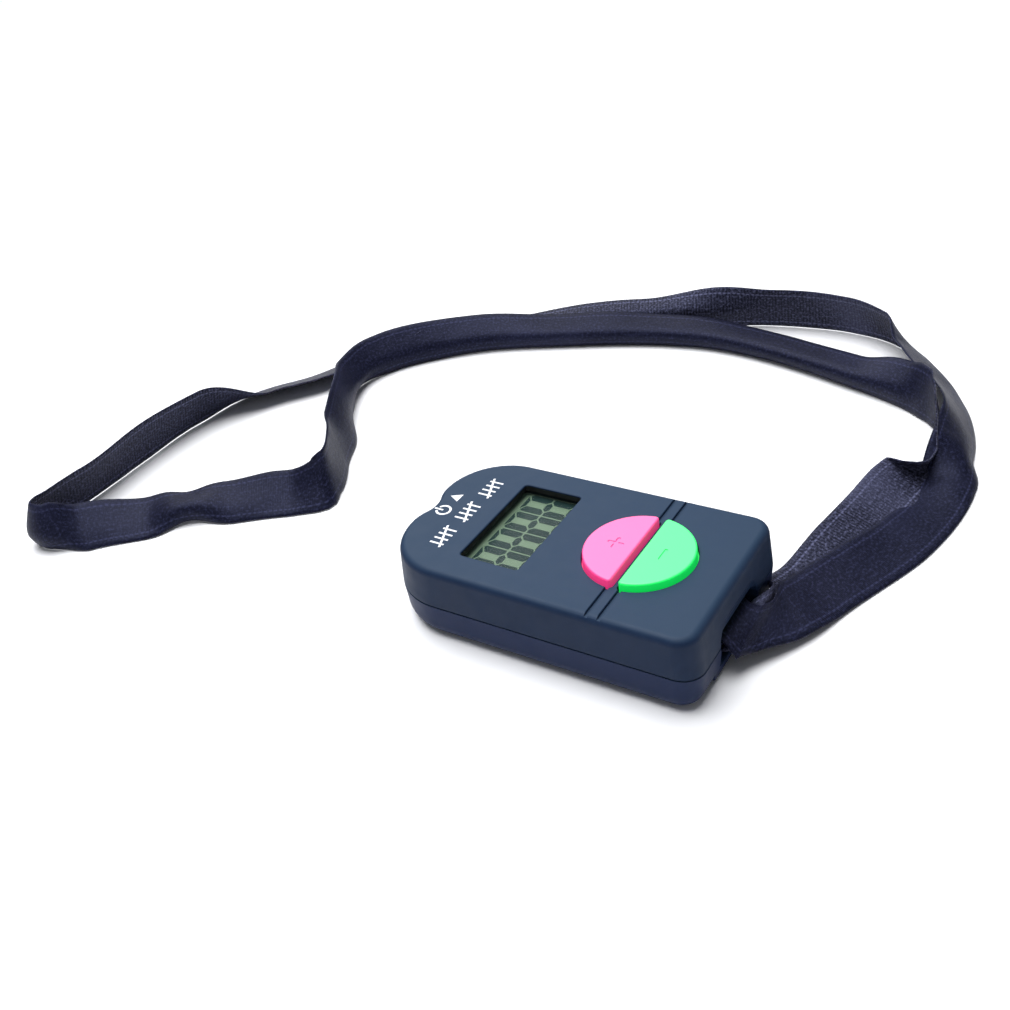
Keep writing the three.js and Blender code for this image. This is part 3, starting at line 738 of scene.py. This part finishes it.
# ---------------------------------------------------------------- scene
def studio():
    bpy.ops.mesh.primitive_plane_add(size=6)
    floor = bpy.context.object
    floor.name = "floor"
    use(floor, finish("table", linear(246, 247, 250), 0.8, grain=0.6, depth=0.004, mottle=0.01))
    for name, place, size, power in (
        ("overhead", (0.05, 0.2, 1.0), 1.0, 17),
        ("back_right", (0.7, 0.7, 0.65), 0.9, 3.5),
        ("left_fill", (-0.9, 0.1, 0.4), 0.7, 0.5),
    ):
        light = bpy.data.lights.new(name, "AREA")
        light.shape = "DISK"
        light.size = size
        light.energy = power
        obj = bpy.data.objects.new(name, light)
        obj.location = place
        obj.rotation_euler = (Vector((0.03, 0.03, 0)) - Vector(place)).to_track_quat("-Z", "Y").to_euler()
        bpy.context.scene.collection.objects.link(obj)
    bpy.context.scene.view_settings.view_transform = "Standard"
    world = bpy.data.worlds.new("studio")
    world.use_nodes = True
    background = world.node_tree.nodes["Background"]
    background.inputs[0].default_value = (0.93, 0.95, 1, 1)
    background.inputs[1].default_value = 0.16
    bpy.context.scene.world = world


camera()
ribbon()

# top paints the case's upward faces lighter than its sides: painted light from above
plastic = {"depth": 0.012, "mottle": 0.06, "wear": 0.25, "gloss": 0.14, "top": linear(42, 60, 82)}
slate = finish("case_slate", linear(21, 38, 64), 0.5, grain=0.22, **plastic)
slate_rear = finish("case_slate_rear", linear(25, 38, 70), 0.46, grain=0.25, **plastic)
# painted shade: black for the window's recess walls, standing in for the shade there
window_shade_black = finish("window_walls_painted_shade", linear(14, 15, 19), 0.6, grain=0.3, depth=0.004)
# Emission_Strength paints a glow into the keys, though they are no lamp; it lifts their bright sides
key_grain_and_glow = {"grain": 0.35, "depth": 0.004, "mottle": 0.03, "Emission_Strength": 0.48}
pinks, greens = linear(255, 66, 138), linear(20, 245, 100)
# top paints the keys' upward faces paler and lighter: painted light and painted highlight from above
pink = finish("key_pink", pinks, 0.42, top=linear(240, 112, 164), Emission_Color=pinks, **key_grain_and_glow)
green = finish("key_green", greens, 0.42, top=linear(92, 225, 138), Emission_Color=greens, **key_grain_and_glow)
rubber = finish("key_black", linear(34, 36, 42), 0.6, grain=0.2, depth=0.008)

for piece, body, slot in (
    (front_shell(slate, window_shade_black), "case", "case_plastic"),
    (rear_shell(slate_rear, window_shade_black), "case", "case_plastic"),
    (key("plus_key_cap", 1, "plus_button", pink), "plus_key", "pink_plastic"),
    (key("minus_key_cap", -1, "minus_button", green), "minus_key", "green_plastic"),
    (reset_key(rubber), "reset_key", "black_plastic"),
    (battery_cap(slate_rear), "battery_cover", "case_plastic"),
):
    smooth(piece)
    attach(piece, body)

display(finish("lcd_ink", linear(22, 48, 48), 0.35, grain=0.5, depth=0.001, mottle=0.1, gloss=0.2))
printed(finish("print_white", linear(238, 240, 245), 0.5, grain=0.15, depth=0.006, mottle=0.02))

clear = {"grain": 3.0, "depth": 0.002, "mottle": 0.01, "gloss": 0.3, "Alpha": 0.08}
lens = finish("lens_clear", linear(60, 76, 72), 0.06, **clear)
steel = finish("steel", linear(190, 193, 198), 0.28, 1.0, grain=0.15, depth=0.003, wear=0.2)
oxide = finish("steel_blackened", linear(34, 34, 38), 0.45, 0.8, grain=0.15, depth=0.004)
zinc = finish("zinc_steel", linear(178, 180, 176), 0.36, 1.0, grain=0.12, depth=0.005, mottle=0.12)
grey_rubber = finish("silicone_grey", linear(120, 124, 128), 0.7, grain=0.3, depth=0.01)
carbon = finish("carbon_black", linear(24, 24, 26), 0.85, grain=0.08, depth=0.01)
glass = finish("lcd_face", linear(118, 142, 118), 0.3, grain=0.4, depth=0.001, mottle=0.03, gloss=0.2)
foil = finish("reflector_foil", linear(196, 200, 190), 0.35, 0.6, grain=0.1, depth=0.004)
laminate = finish("board_green", linear(38, 98, 58), 0.4, grain=0.12, depth=0.006, mottle=0.1)
epoxy = finish("epoxy_black", linear(20, 20, 22), 0.35, grain=0.6, depth=0.02)
ceramic = finish("ceramic_tan", linear(176, 152, 116), 0.45, grain=0.1, depth=0.004)
WEARS = {
    "window_lens": lens, "lcd_front_glass": glass, "lcd_rear_glass": glass, "lcd_reflector": foil,
    "elastomer_strip": carbon, "circuit_board": laminate, "chip_blob": epoxy, "capacitor": ceramic,
    "resistor": epoxy, "button_cell": steel, "contact_positive": zinc, "contact_negative": zinc,
    "lanyard_pin": oxide, "keypad_mat": grey_rubber,
    "plus_pill": carbon, "minus_pill": carbon, "reset_switch": epoxy, "reset_plunger": steel,
    "case_screw_1": zinc, "case_screw_2": zinc, "case_screw_3": zinc, "case_screw_4": zinc,
    "board_screw_1": zinc, "board_screw_2": zinc,
}
for node, material in WEARS.items():
    use(bpy.data.objects[node], material)
for side, name in ((1, "plus"), (-1, "minus")):
    rubber_dome(name, grey_rubber)

studio()
